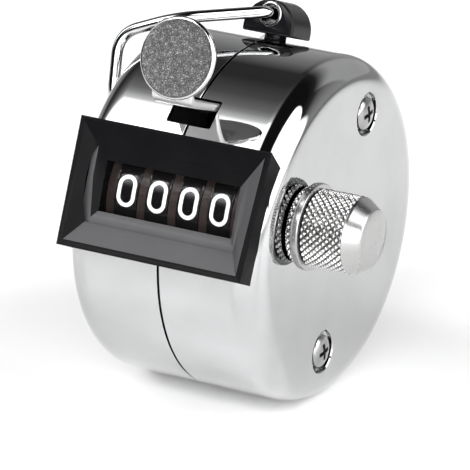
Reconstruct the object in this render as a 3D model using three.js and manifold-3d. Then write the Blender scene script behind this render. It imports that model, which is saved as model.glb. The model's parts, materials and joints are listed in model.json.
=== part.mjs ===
// Hand tally counter: a chromed drum casing in two halves, a black window bezel, four number
// wheels on one shaft, a thumb lever that drives them through a pawl and ratchet, a knurled
// reset knob and a finger ring on a riveted lug.
//
// Every piece is drawn in the drum's own axes, in millimetres: X along the drum towards the
// knob, -Y out of the window, +Z towards the ring lug, with zero at the middle of the drum.
// The finished counter leans back by LEAN_DEG, and its origin is the middle of its footprint.
import * as THREE from 'three';
import { mergeVertices } from 'three/addons/utils/BufferGeometryUtils.js';
import Module from 'manifold-3d';

const wasm = await Module();
wasm.setup();

// ---------------------------------------------------------------- driving dimensions
const LEAN_DEG = 22.5;      // how far the window is turned up
const GAP = 0.3;            // clearance between neighbouring pieces

const DRUM_RADIUS = 22;
const DRUM_HALF = 13.7;     // half the width of the casing
const DRUM_FILLET = 3.8;
const DRUM_SIDES = 48;
const SHEET = 0.8;          // casing sheet thickness
const SEAM = 0.15;          // half the gap between the two casing halves

const WINDOW_Z = 0.7;       // height of the window's middle
const RIM = { top: 13.2, bottom: 12.75, high: 8.7, low: -7.3, topFront: 22.3, bottomFront: 23.5 };
const RIM_EDGE = 0.75;      // width of the rim's flat edge
const APERTURE = { width: 18.5, height: 6.3, front: 20.95, lip: 0.3 };
// Where the bezel's outer walls run to, and the block that fills the window hole behind them.
const HOOD = { half: 13.3, halfLow: 12, high: 4.6, low: -8, back: 15 };
const PLUG = { half: 11.25, high: 7, low: -6.3, back: 19.95 };
const LENS = { width: 20.6, height: 7.7, thickness: 0.4 };

const SHAFT_Y = -11.8;      // number wheels, shaft and knob
const SHAFT_Z = 0.6;
const SHAFT_RADIUS = 1.5;
const WHEEL_RADIUS = 7.8;
const WHEEL_PITCH = 4.32;
const WHEEL_FACE = 3.0;     // width of the numbered band
const WHEEL_MIDDLE = -0.1;
const WHEEL_NAMES = ['thousands', 'hundreds', 'tens', 'ones'];

// A comb of curved slats that fills the gaps between the wheels, on two rails outside them.
const MASK = {
  inner: 7.3, outer: 7.7, half: 46, flare: 8.35, flareEnd: 51,
  rail: 8.55, railStart: 45, railEnd: 52, left: -9.3, right: 9,
};

const MODULE = 0.66;        // carry gearing
const GEAR_TEETH = 20;
const PINION_TEETH = 8;
const PINION_ANGLE = -30;   // direction of the pinion shaft from the wheel shaft, degrees
const PINION_SHAFT_RADIUS = 0.75;

const RATCHET = { teeth: 10, tip: 3.4, root: 2.5, x: 9.3, thickness: 0.8 };

const LEVER_PIVOT = { y: -3.2, z: 12.5 };
const LEVER_PIN_RADIUS = 1;
const STRIP = { half: 2.75, low: 12.1, thickness: 1, front: 25.6 };
const SLOT_LOW = 9.9;
const PAD = { radius: 5, z: 17.7 };
const LEVER_ARM = { x: 10.3, thickness: 0.6, y: -4, z: 6 };

const PLATE = { inner: 11.15, thickness: 0.7 };
const CASE_POSTS = [{ name: 'upper', y: 1.1, z: 15.05 }, { name: 'lower', y: 1.1, z: -15.05 }];
const CASE_POST_RADIUS = 1.9;
const SCREW = { shank: 0.85, head: 2.1, headHeight: 0.9, recess: 2.7, recessDepth: 0.9, floor: 0.65 };

const KNOB = {
  start: 14, band: 14.95, barrel: 16.05, chamfer: 21.85, end: 23.55, radius: 4.85, face: 3.65,
};
const KNOB_BAND_RADIUS = 5.4;

const LUG = { x: -0.2, half: 3.55, low: 22.6, high: 26.95, length: 5.4, eye: 25.1, eyeRadius: 1.3 };
// The finger ring: its arms slope out over the casing, then turn down along its left side.
const RING = {
  wire: 0.75, slope: 22.8, skew: 3.4, half: 12,
  elbow: -8.3, flank: -15.75, foot: -14.85, low: 9.5, corner: 2.8,
};

// ---------------------------------------------------------------- colours
const finish = (color, roughness, metalness) =>
  new THREE.MeshStandardMaterial({ color, roughness, metalness });
const CHROME = finish('#e6e8ea', 0.08, 1);
const NICKEL = finish('#d2d2ce', 0.25, 1);
const STEEL = finish('#a9abad', 0.4, 1);
const SPRING = finish('#8e9092', 0.35, 1);
const BRASS = finish('#b89a55', 0.4, 1);
const BEZEL_BLACK = finish('#1b1c1e', 0.42, 0);
const MASK_BROWN = finish('#2a2120', 0.35, 0);
const LUG_BLACK = finish('#101113', 0.15, 0);
const WHEEL_BLACK = finish('#141214', 0.3, 0);
const NYLON = finish('#d9d4c4', 0.5, 0);
const CLEAR = finish('#eef3f5', 0.05, 0);
CLEAR.transparent = true;
CLEAR.opacity = 0.3;

// ---------------------------------------------------------------- solids
const radians = THREE.MathUtils.degToRad;

// A closed geometry as a solid that can be joined and cut. Inside-out ones are turned.
function solid(geometry) {
  const bare = geometry.clone();
  bare.deleteAttribute('normal');
  bare.deleteAttribute('uv');
  const merged = mergeVertices(bare, 1e-4);
  const points = merged.getAttribute('position');
  const index = merged.index.array;
  const corner = (i) => new THREE.Vector3().fromBufferAttribute(points, index[i]);
  let volume = 0;
  for (let i = 0; i < index.length; i += 3) {
    volume += corner(i).dot(corner(i + 1).cross(corner(i + 2)));
  }
  if (volume < 0) index.reverse();
  return new wasm.Manifold(new wasm.Mesh({
    numProp: 3,
    vertProperties: new Float32Array(points.array),
    triVerts: new Uint32Array(index),
  }));
}

function geometryOf(body) {
  const mesh = body.getMesh();
  const geometry = new THREE.BufferGeometry();
  geometry.setAttribute('position', new THREE.BufferAttribute(mesh.vertProperties, 3));
  geometry.setIndex(new THREE.BufferAttribute(mesh.triVerts, 1));
  return geometry;
}

const join = (...bodies) => bodies.reduce((sum, body) => sum.add(body));
const cut = (body, ...tools) => tools.reduce((rest, tool) => rest.subtract(tool), body);

// A profile of [x, radius] points turned about the X axis, moved out to (y, z).
function turned(profile, sides, y = 0, z = 0, phase = 0) {
  const points = profile.map(([x, radius]) => new THREE.Vector2(radius, x));
  const geometry = new THREE.LatheGeometry(points, sides, radians(phase), 2 * Math.PI);
  geometry.rotateZ(-Math.PI / 2);
  geometry.translate(0, y, z);
  return solid(geometry);
}

const rod = (from, to, radius, y, z, sides = 16) =>
  turned([[from, 0], [from, radius], [to, radius], [to, 0]], sides, y, z);

// An outline of [y, z] points, with round holes, as a plate from x = from to x = to.
function plate(outline, from, to, holes = []) {
  const shape = new THREE.Shape(outline.map(([y, z]) => new THREE.Vector2(y, z)));
  for (const [y, z, radius] of holes) {
    shape.holes.push(new THREE.Path().absarc(y, z, radius, 0, 2 * Math.PI, true));
  }
  const depth = to - from;
  const geometry = new THREE.ExtrudeGeometry(shape, { depth, bevelEnabled: false, curveSegments: 8 });
  geometry.applyMatrix4(new THREE.Matrix4().makeBasis(
    new THREE.Vector3(0, 1, 0), new THREE.Vector3(0, 0, 1), new THREE.Vector3(1, 0, 0)));
  geometry.translate(from, 0, 0);
  return solid(geometry);
}

function block([x0, y0, z0], [x1, y1, z1]) {
  const geometry = new THREE.BoxGeometry(x1 - x0, y1 - y0, z1 - z0);
  geometry.translate((x0 + x1) / 2, (y0 + y1) / 2, (z0 + z1) / 2);
  return solid(geometry);
}

// Two four-cornered faces joined by flat walls. Both run round the same way.
function frustum(front, back) {
  const triangles = [0, 1, 2, 0, 2, 3, 4, 6, 5, 4, 7, 6];
  for (let i = 0; i < 4; i += 1) {
    const next = (i + 1) % 4;
    triangles.push(i, i + 4, next, next, i + 4, next + 4);
  }
  const geometry = new THREE.BufferGeometry();
  geometry.setAttribute('position', new THREE.Float32BufferAttribute([...front, ...back].flat(), 3));
  geometry.setIndex(triangles);
  return solid(geometry);
}

// An arc of [a, b] points about (a0, b0), from one angle to another in degrees.
function arc(a0, b0, radius, from, to, steps) {
  const points = [];
  for (let i = 0; i <= steps; i += 1) {
    const angle = radians(from + (to - from) * i / steps);
    points.push([a0 + radius * Math.cos(angle), b0 + radius * Math.sin(angle)]);
  }
  return points;
}

// A round wire along a curve.
function wire(points, radius, steps, sides) {
  const path = new THREE.CatmullRomCurve3(points, false, 'centripetal');
  const section = new THREE.Shape();
  section.absarc(0, 0, radius, 0, 2 * Math.PI, false);
  return solid(new THREE.ExtrudeGeometry(section, { steps, extrudePath: path, curveSegments: sides }));
}

const pieces = [];
function piece(name, body, material) {
  const mesh = new THREE.Mesh(geometryOf(body), material);
  mesh.name = name;
  pieces.push(mesh);
}

// ---------------------------------------------------------------- casing
// Profile of a drum half from x = start to its face, let out by `grow`.
function drumProfile(start, grow) {
  const cornerX = DRUM_HALF - DRUM_FILLET;
  const cornerR = DRUM_RADIUS - DRUM_FILLET;
  const round = arc(cornerX, cornerR, DRUM_FILLET + grow, 90, 0, 6);
  return [[start, DRUM_RADIUS + grow], ...round];
}

function casingHalf() {
  const outer = drumProfile(SEAM, 0).reverse();
  const inner = drumProfile(SEAM, -SHEET);
  const profile = [[DRUM_HALF, 0], ...outer, ...inner, [DRUM_HALF - SHEET, 0]];
  return turned(profile, DRUM_SIDES, 0, 0, 180 / DRUM_SIDES);
}

const mirrored = (body) => body.mirror([1, 0, 0]);

const windowHole = block(
  [-PLUG.half - GAP, -30, PLUG.low - GAP],
  [PLUG.half + GAP, -5, PLUG.high + GAP]);
const leverSlot = block(
  [-STRIP.half - GAP, -30, SLOT_LOW],
  [STRIP.half + GAP, -5, STRIP.low + STRIP.thickness + GAP]);

function upright(radius, low, high, x = 0, sides = 24) {
  const geometry = new THREE.CylinderGeometry(radius, radius, high - low, sides);
  geometry.rotateX(Math.PI / 2);
  geometry.translate(x, 0, (low + high) / 2);
  return solid(geometry);
}

const lugHole = upright(1.7, 15, 25, LUG.x);
piece('left_shell', cut(mirrored(casingHalf()), windowHole, leverSlot, lugHole), CHROME);

const recessFloor = DRUM_HALF - SCREW.recessDepth;
const bossBack = recessFloor - SCREW.floor;
const outside = DRUM_HALF + 1;
const bosses = CASE_POSTS.map(({ y, z }) =>
  rod(bossBack, DRUM_HALF - SHEET / 2, SCREW.recess + 0.7, y, z, 20));
const recesses = CASE_POSTS.map(({ y, z }) => rod(recessFloor, outside, SCREW.recess, y, z, 20));
const screwHoles = CASE_POSTS.map(({ y, z }) => rod(5, outside, SCREW.shank + GAP, y, z, 12));
const rightHoles = [...recesses, ...screwHoles, rod(5, outside, 2.9, SHAFT_Y, SHAFT_Z, 20)];
const rightHalf = cut(join(casingHalf(), ...bosses), ...rightHoles);
piece('right_shell', cut(rightHalf, windowHole, leverSlot, lugHole), CHROME);

function caseScrew(y, z) {
  const under = recessFloor + GAP;
  const top = under + SCREW.headHeight;
  const profile = [
    [7, 0], [7, SCREW.shank], [under, SCREW.shank], [under, SCREW.head], [under + 0.45, SCREW.head],
    [top - 0.12, SCREW.head * 0.62], [top, 0],
  ];
  const slots = [[1.3, 0.3], [0.3, 1.3]].map(([a, b]) =>
    block([top - 0.5, y - a, z - b], [top + 1, y + a, z + b]));
  return cut(turned(profile, 20, y, z), ...slots);
}

for (const { name, y, z } of CASE_POSTS) {
  const post = rod(-DRUM_HALF + SHEET + GAP, bossBack - GAP, CASE_POST_RADIUS, y, z);
  const thread = rod(6.5, DRUM_HALF, SCREW.shank + GAP, y, z, 12);
  piece(`case_post_${name}`, cut(post, thread), STEEL);
  piece(`case_screw_${name}`, caseScrew(y, z), NICKEL);
}

// ---------------------------------------------------------------- window bezel and lens
const quad = (halfTop, halfBottom, high, low, frontTop, frontBottom) => [
  [-halfTop, -frontTop, high], [halfTop, -frontTop, high],
  [halfBottom, -frontBottom, low], [-halfBottom, -frontBottom, low],
];

// Front of the rim's plane at height z.
const rimFront = (z) =>
  RIM.topFront + (RIM.high - z) / (RIM.high - RIM.low) * (RIM.bottomFront - RIM.topFront);

function bezel() {
  const hood = frustum(
    quad(RIM.top, RIM.bottom, RIM.high, RIM.low, RIM.topFront, RIM.bottomFront),
    quad(HOOD.half, HOOD.halfLow, HOOD.high, HOOD.low, HOOD.back, HOOD.back));
  const right = [...drumProfile(0, GAP).slice(1), [DRUM_HALF + GAP, 0]];
  const left = right.map(([x, radius]) => [-x, radius]).reverse();
  const drum = turned([...left, ...right], DRUM_SIDES, 0, 0, 180 / DRUM_SIDES);
  const plug = block([-PLUG.half, -21.5, PLUG.low], [PLUG.half, -PLUG.back, PLUG.high]);
  const high = RIM.high - RIM_EDGE;
  const low = RIM.low + RIM_EDGE;
  const openHigh = WINDOW_Z + APERTURE.height / 2;
  const openLow = WINDOW_Z - APERTURE.height / 2;
  const halfOpen = APERTURE.width / 2;
  const funnel = frustum(
    quad(RIM.top - RIM_EDGE, RIM.bottom - RIM_EDGE, high, low, rimFront(high) + 0.01, rimFront(low) + 0.01),
    quad(halfOpen, halfOpen, openHigh, openLow, APERTURE.front, APERTURE.front));
  const hole = block([-halfOpen, -APERTURE.front - 0.1, openLow], [halfOpen, -HOOD.back, openHigh]);
  const seatHalf = LENS.width / 2 + GAP;
  const seatHigh = LENS.height / 2 + GAP;
  const seat = block(
    [-seatHalf, APERTURE.lip - APERTURE.front, WINDOW_Z - seatHigh],
    [seatHalf, -HOOD.back, WINDOW_Z + seatHigh]);
  return cut(join(cut(hood, drum), plug), funnel, hole, seat);
}

piece('bezel', bezel(), BEZEL_BLACK);

const lensFront = APERTURE.front - APERTURE.lip - GAP;
piece('window_lens', block(
  [-LENS.width / 2, -lensFront, WINDOW_Z - LENS.height / 2],
  [LENS.width / 2, -lensFront + LENS.thickness, WINDOW_Z + LENS.height / 2]), CLEAR);

// ---------------------------------------------------------------- number wheels and carry gearing
// Straight-flanked gear outline about (y, z). A tooth points along `towards`, in degrees.
function gearOutline(teeth, y, z, towards) {
  const pitch = teeth * MODULE / 2;
  const step = 360 / teeth;
  const marks = [[-0.29, -0.78], [-0.09, 0.72], [0.09, 0.72], [0.29, -0.78]];
  const outline = [];
  for (let i = 0; i < teeth; i += 1) {
    for (const [share, height] of marks) {
      const angle = radians(towards + (i + share) * step);
      const radius = pitch + height * MODULE;
      outline.push([y + radius * Math.cos(angle), z + radius * Math.sin(angle)]);
    }
  }
  return outline;
}

const centreDistance = (GEAR_TEETH + PINION_TEETH) * MODULE / 2;
const pinionY = SHAFT_Y + centreDistance * Math.cos(radians(PINION_ANGLE));
const pinionZ = SHAFT_Z + centreDistance * Math.sin(radians(PINION_ANGLE));
const wheelCentre = (place) => WHEEL_MIDDLE + (place - 1.5) * WHEEL_PITCH;
const wheelBore = rod(-30, 30, SHAFT_RADIUS + 0.25, SHAFT_Y, SHAFT_Z);
const GEAR_WIDTH = 0.5;
const CARRY_WIDTH = 0.35;

// Place 0 is the thousands wheel. Its gear faces the next lower wheel, whose carry teeth face it.
function numberWheel(place) {
  const left = wheelCentre(place) - WHEEL_FACE / 2;
  const right = wheelCentre(place) + WHEEL_FACE / 2;
  const parts = [rod(left, right, WHEEL_RADIUS, SHAFT_Y, SHAFT_Z, 40)];
  if (place < 3) {
    const gear = gearOutline(GEAR_TEETH, SHAFT_Y, SHAFT_Z, PINION_ANGLE);
    parts.push(plate(gear, right - 0.1, right + GEAR_WIDTH));
  } else {
    parts.push(rod(right - 0.1, RATCHET.x - GAP, 3, SHAFT_Y, SHAFT_Z));
  }
  if (place > 0) {
    const teeth = [
      ...arc(SHAFT_Y, SHAFT_Z, 5.8, 150, 156, 1), ...arc(SHAFT_Y, SHAFT_Z, 4.6, 158, 166, 2),
      ...arc(SHAFT_Y, SHAFT_Z, 5.8, 168, 174, 1), ...arc(SHAFT_Y, SHAFT_Z, 4.6, 178, 506, 22),
    ];
    parts.push(plate(teeth, left - CARRY_WIDTH, left + 0.1));
  } else {
    parts.push(rod(left - 2.6, left + 0.1, 3, SHAFT_Y, SHAFT_Z));
  }
  return cut(join(...parts), wheelBore);
}

WHEEL_NAMES.forEach((name, place) => piece(`number_wheel_${name}`, numberWheel(place), WHEEL_BLACK));

// A comb: one curved slat per gap, flared at both ends to meet two rails.
function wheelMask() {
  const round = (radius, from, to, steps) => arc(SHAFT_Y, SHAFT_Z, radius, 180 + from, 180 + to, steps);
  const slat = [
    ...round(MASK.outer, -MASK.half, MASK.half, 12),
    ...round(MASK.flare, MASK.half, MASK.flareEnd, 1),
    ...round(MASK.inner, MASK.flareEnd, -MASK.flareEnd, 14),
    ...round(MASK.flare, -MASK.flareEnd, -MASK.half, 1),
  ];
  const edges = [MASK.left, ...WHEEL_NAMES.flatMap((name, place) => [
    wheelCentre(place) - WHEEL_FACE / 2 - 0.12,
    wheelCentre(place) + WHEEL_FACE / 2 + 0.12,
  ]), MASK.right];
  const parts = [];
  for (let i = 0; i < edges.length; i += 2) {
    parts.push(plate(slat, edges[i], edges[i + 1]));
  }
  for (const side of [-1, 1]) {
    const rail = [
      ...round(MASK.rail, side * MASK.railStart, side * MASK.railEnd, 1),
      ...round(WHEEL_RADIUS + GAP, side * MASK.railEnd, side * MASK.railStart, 1),
    ];
    parts.push(plate(rail, GAP - PLATE.inner, PLATE.inner - GAP));
  }
  return join(...parts);
}

piece('wheel_mask', wheelMask(), MASK_BROWN);

// Saw teeth: each rises slowly from the root to its tip and drops straight back.
function ratchetOutline() {
  const outline = [];
  for (let i = 0; i < RATCHET.teeth; i += 1) {
    for (const [share, radius] of [[0, RATCHET.root], [0.92, RATCHET.tip]]) {
      const angle = radians((i + share) * 360 / RATCHET.teeth);
      outline.push([SHAFT_Y + radius * Math.cos(angle), SHAFT_Z + radius * Math.sin(angle)]);
    }
  }
  return outline;
}

const ratchetEnd = RATCHET.x + RATCHET.thickness;
piece('ratchet_wheel', cut(plate(ratchetOutline(), RATCHET.x, ratchetEnd), wheelBore), STEEL);

const PINION_WIDTH = 1.0;
['thousands', 'hundreds', 'tens'].forEach((name, place) => {
  const left = wheelCentre(place) + WHEEL_FACE / 2 + 0.16;
  const gap = PINION_ANGLE + 180 + 180 / PINION_TEETH;
  const body = plate(gearOutline(PINION_TEETH, pinionY, pinionZ, gap), left, left + PINION_WIDTH);
  const bore = rod(-30, 30, PINION_SHAFT_RADIUS + 0.15, pinionY, pinionZ, 12);
  piece(`carry_pinion_${name}`, cut(body, bore), NYLON);
});

piece('wheel_shaft', rod(-12.5, 21.2, SHAFT_RADIUS, SHAFT_Y, SHAFT_Z), STEEL);
piece('pinion_shaft', rod(-12.3, 12.3, PINION_SHAFT_RADIUS, pinionY, pinionZ, 12), STEEL);

const clip = plate([
  ...arc(SHAFT_Y, SHAFT_Z, 2.9, -60, 240, 16), ...arc(SHAFT_Y, SHAFT_Z, SHAFT_RADIUS + GAP, 240, -60, 12),
], ratchetEnd + 0.4, ratchetEnd + 0.9);
piece('shaft_clip', clip, SPRING);

// ---------------------------------------------------------------- reset knob
function turnedOnShaft(profile, bore, sides = 24) {
  const body = turned(profile, sides, SHAFT_Y, SHAFT_Z);
  return cut(body, bore);
}

const knobBore = rod(0, 21.5, SHAFT_RADIUS + GAP, SHAFT_Y, SHAFT_Z);
const collarEnd = KNOB.band - GAP / 2;
const bandEnd = KNOB.barrel - GAP / 2;
const waist = KNOB.radius - 0.6;
piece('reset_knob', turnedOnShaft([
  [KNOB.start, 0], [KNOB.start, KNOB.radius], [collarEnd, KNOB.radius], [collarEnd, waist],
  [KNOB.barrel, waist], [KNOB.barrel, KNOB.radius], [KNOB.chamfer, KNOB.radius],
  [KNOB.end, KNOB.face], [KNOB.end, 0],
], knobBore), NICKEL);
piece('knob_band', turnedOnShaft([
  [KNOB.band, 0], [KNOB.band, KNOB_BAND_RADIUS], [bandEnd, KNOB_BAND_RADIUS], [bandEnd, 0],
], rod(0, 30, waist + GAP, SHAFT_Y, SHAFT_Z, 24)), CHROME);
piece('shaft_bush', turnedOnShaft([
  [12.3, 0], [12.3, 3.6], [12.6, 3.6], [12.6, 2.6], [13.75, 2.6], [13.75, 0],
], rod(0, 30, SHAFT_RADIUS + 0.25, SHAFT_Y, SHAFT_Z)), BRASS);

// ---------------------------------------------------------------- thumb lever
function thumbLever() {
  const top = STRIP.low + STRIP.thickness;
  const back = -STRIP.front + STRIP.thickness;
  const bend = 0.9;
  const outerBend = bend + STRIP.thickness;
  const profile = [
    [LEVER_PIVOT.y, top], [LEVER_PIVOT.y, STRIP.low],
    ...arc(-STRIP.front + outerBend, STRIP.low + outerBend, outerBend, 270, 180, 5),
    [-STRIP.front, PAD.z], [back, PAD.z],
    ...arc(back + bend, top + bend, bend, 180, 270, 4),
  ];
  const strip = plate(profile, -STRIP.half, STRIP.half);
  const padGeometry = new THREE.CylinderGeometry(PAD.radius, PAD.radius, STRIP.thickness, 32);
  padGeometry.translate(0, -STRIP.front + STRIP.thickness / 2, PAD.z);
  const hub = rod(-STRIP.half, LEVER_ARM.x + LEVER_ARM.thickness, 1.9, LEVER_PIVOT.y, LEVER_PIVOT.z);
  const fall = Math.atan2(LEVER_ARM.z - LEVER_PIVOT.z, LEVER_ARM.y - LEVER_PIVOT.y);
  const down = THREE.MathUtils.radToDeg(fall);
  const arm = plate([
    ...arc(LEVER_ARM.y, LEVER_ARM.z, 1.3, down - 90, down + 90, 6),
    ...arc(LEVER_PIVOT.y, LEVER_PIVOT.z, 2.2, down + 90, down + 270, 8),
  ], LEVER_ARM.x, LEVER_ARM.x + LEVER_ARM.thickness, [[LEVER_ARM.y, LEVER_ARM.z, 0.8]]);
  const bore = rod(-30, 30, LEVER_PIN_RADIUS + 0.2, LEVER_PIVOT.y, LEVER_PIVOT.z);
  return cut(join(strip, solid(padGeometry), hub, arm), bore);
}

piece('thumb_lever', thumbLever(), NICKEL);
piece('lever_pivot_pin', rod(-12.4, 12.4, LEVER_PIN_RADIUS, LEVER_PIVOT.y, LEVER_PIVOT.z, 12), STEEL);

// Torsion spring round the lever's hub. One leg bears under the upper case post, the other
// under the strip.
function returnSpring() {
  const coil = 2.6;
  const turns = 3;
  const perTurn = 12;
  const start = 3.6;
  const at = (x, y, z) => new THREE.Vector3(x, LEVER_PIVOT.y + y, LEVER_PIVOT.z + z);
  const points = [at(start, 5.8, 0.5)];
  for (let i = 0; i <= turns * perTurn; i += 1) {
    const angle = -Math.PI / 2 - 2 * Math.PI * i / perTurn;
    points.push(at(start + 0.85 * i / perTurn, coil * Math.cos(angle), coil * Math.sin(angle)));
  }
  points.push(at(6.1, -4, -1.4), at(4.6, -5.2, -1.05), at(1.4, -5.4, -1));
  return wire(points, 0.28, 84, 3);
}

piece('lever_return_spring', returnSpring(), SPRING);

// ---------------------------------------------------------------- pawls
// A pawl from its pin to its nose, in the plane of the ratchet.
function pawl(pin, nose) {
  const along = THREE.MathUtils.radToDeg(Math.atan2(nose[1] - pin[1], nose[0] - pin[0]));
  const outline = [
    ...arc(pin[0], pin[1], 1.25, along + 60, along + 300, 8),
    ...arc(nose[0], nose[1], 0.25, along - 60, along + 60, 2),
  ];
  return plate(outline, RATCHET.x + 0.05, ratchetEnd - 0.05, [[pin[0], pin[1], 0.75]]);
}

const DRIVE_NOSE = [-9.75, 4.1];
const STOP_PIN = [-15.6, -7.2];
const STOP_NOSE = [-10.9, -3.35];
piece('drive_pawl', pawl([LEVER_ARM.y, LEVER_ARM.z], DRIVE_NOSE), STEEL);
const armEnd = LEVER_ARM.x + LEVER_ARM.thickness;
piece('drive_pawl_pin', rod(RATCHET.x - 0.3, armEnd + 0.1, 0.5, LEVER_ARM.y, LEVER_ARM.z, 12), STEEL);
piece('stop_pawl', pawl(STOP_PIN, STOP_NOSE), STEEL);
const plateEnd = PLATE.inner + PLATE.thickness;
piece('stop_pawl_pin', rod(RATCHET.x - 0.3, plateEnd + GAP, 0.5, ...STOP_PIN, 12), STEEL);

// Leaf springs that press the pawls towards the ratchet.
function leaf(points) {
  const other = points.map(([y, z]) => [y, z + 0.2]).reverse();
  return plate([...points, ...other], 9.4, 10);
}
piece('drive_pawl_spring', leaf([[-9.2, 5.4], [-6.6, 6.9], [-4.2, 8.1], [-2.2, 9.2]]), SPRING);
piece('stop_pawl_spring', leaf([[-16.4, -10.4], [-15.4, -9.6], [-14, -8.2], [-12.2, -6.2]]), SPRING);

// ---------------------------------------------------------------- mechanism frame
const FRAME_POSTS = [
  { name: 'back', y: 7, z: 5 },
  { name: 'bottom', y: 3, z: -9.5 },
  { name: 'front', y: -13.3, z: -10 },
];
const frameHoles = [
  [SHAFT_Y, SHAFT_Z, SHAFT_RADIUS + 0.25],
  [pinionY, pinionZ, PINION_SHAFT_RADIUS + GAP],
  [LEVER_PIVOT.y, LEVER_PIVOT.z, LEVER_PIN_RADIUS + GAP],
  [...STOP_PIN, 0.8],
  ...CASE_POSTS.map(({ y, z }) => [y, z, CASE_POST_RADIUS + GAP]),
  ...FRAME_POSTS.map(({ y, z }) => [y, z, 1.5]),
];
const frameOutline = [
  ...arc(-14.3, 4.2, 3, 90, 180, 4), ...arc(-14.9, -8.2, 2.7, 190, 250, 4),
  ...arc(0.5, -15, 3.6, 240, 300, 4),
  ...arc(7.5, 4.6, 3.2, -20, 70, 4), ...arc(0.8, 14.8, 3.8, 20, 160, 6),
];
const framePlate = (from) => plate(frameOutline, from, from + PLATE.thickness, frameHoles);
piece('frame_plate_left', framePlate(-PLATE.inner - PLATE.thickness), STEEL);
piece('frame_plate_right', framePlate(PLATE.inner), STEEL);
for (const { name, y, z } of FRAME_POSTS) {
  piece(`frame_post_${name}`, rod(-12.3, 12.3, 1.2, y, z, 12), STEEL);
}

// ---------------------------------------------------------------- ring lug and finger ring
function ringLug() {
  const round = arc(0, LUG.high - LUG.half, LUG.half, 0, 180, 12);
  const outline = [[LUG.half, LUG.low], ...round, [-LUG.half, LUG.low]];
  const shape = new THREE.Shape(outline.map(([x, z]) => new THREE.Vector2(x, z)));
  shape.holes.push(new THREE.Path().absarc(0, LUG.eye, LUG.eyeRadius, 0, 2 * Math.PI, true));
  const depth = LUG.length;
  const geometry = new THREE.ExtrudeGeometry(shape, { depth, bevelEnabled: false, curveSegments: 8 });
  geometry.rotateX(Math.PI / 2);
  geometry.translate(LUG.x, depth / 2, 0);
  const neck = upright(1.4, 21.1, LUG.low + 0.2, LUG.x);
  return cut(join(solid(geometry), neck), upright(0.9, 20, 23.3, LUG.x, 12));
}

piece('ring_lug', ringLug(), LUG_BLACK);
piece('lug_rivet', join(upright(0.6, 19.4, 23, LUG.x, 12), upright(2.4, 19.2, 19.8, LUG.x)), STEEL);
piece('lug_washer', cut(upright(3, 20.1, 20.6, LUG.x), upright(0.9, 19, 22, LUG.x, 12)), STEEL);

// A path through corner points, each corner replaced by a curve that starts `reach` before it.
function roundedPath(corners, reach, steps) {
  const points = [corners[0]];
  for (let i = 1; i < corners.length - 1; i += 1) {
    const corner = corners[i];
    const before = corners[i - 1].clone().sub(corner).setLength(reach).add(corner);
    const after = corners[i + 1].clone().sub(corner).setLength(reach).add(corner);
    points.push(...new THREE.QuadraticBezierCurve3(before, corner, after).getPoints(steps));
  }
  return [...points, corners.at(-1)];
}

// Half of the ring, from inside the eye along one arm to the middle of the low bar. `side` is
// -1 for the front half and 1 for the back, which hangs a little lower.
function halfRing(side) {
  const dip = (y) => y * Math.tan(radians(RING.skew));
  const fall = (x) => (LUG.x - x) * Math.tan(radians(RING.slope));
  const onArm = (x, y) => new THREE.Vector3(x, y, LUG.eye - fall(x) - dip(y));
  const y = side * RING.half;
  const throat = roundedPath([
    onArm(LUG.x, side * 0.15),
    onArm(LUG.x, side * (LUG.length / 2 + 0.9)),
    onArm(RING.elbow, y),
  ], 1.1, 4);
  const outer = roundedPath([
    throat.at(-2),
    onArm(RING.elbow, y),
    onArm(RING.flank, y),
    new THREE.Vector3(RING.foot, y, RING.low - dip(y)),
    new THREE.Vector3(RING.foot, 0, RING.low),
  ], RING.corner, 5);
  return [...throat.slice(0, -1), ...outer.slice(1)];
}

const ringPath = [...halfRing(-1), ...halfRing(1).slice(0, -1).reverse()];
piece('finger_ring', wire(ringPath, RING.wire, 84, 3), CHROME);

// ---------------------------------------------------------------- whole counter
const counter = new THREE.Group();
counter.add(...pieces);
counter.rotation.x = -radians(LEAN_DEG);
const part = new THREE.Group();
part.add(counter);
part.updateMatrixWorld(true);
const bounds = new THREE.Box3().setFromObject(part, true);
const middle = bounds.getCenter(new THREE.Vector3());
counter.position.set(-middle.x, -middle.y, -bounds.min.z);

export default part;
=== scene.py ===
# %% [markdown]
# # A hand tally counter
#
# A hand tally counter is a small chromed drum that sits in the palm. The thumb presses a lever,
# a pawl inside pushes a ratchet one tooth on, and four number wheels show the count behind a
# small window. A knurled knob on the right sets the wheels back to zero, and a wire ring lets
# a finger hold it. This lesson builds its visible pieces one by one, each in the place that the
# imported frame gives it.

import json
import math

import bmesh
import bpy
import numpy as np
from mathutils import Matrix, Vector


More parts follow.
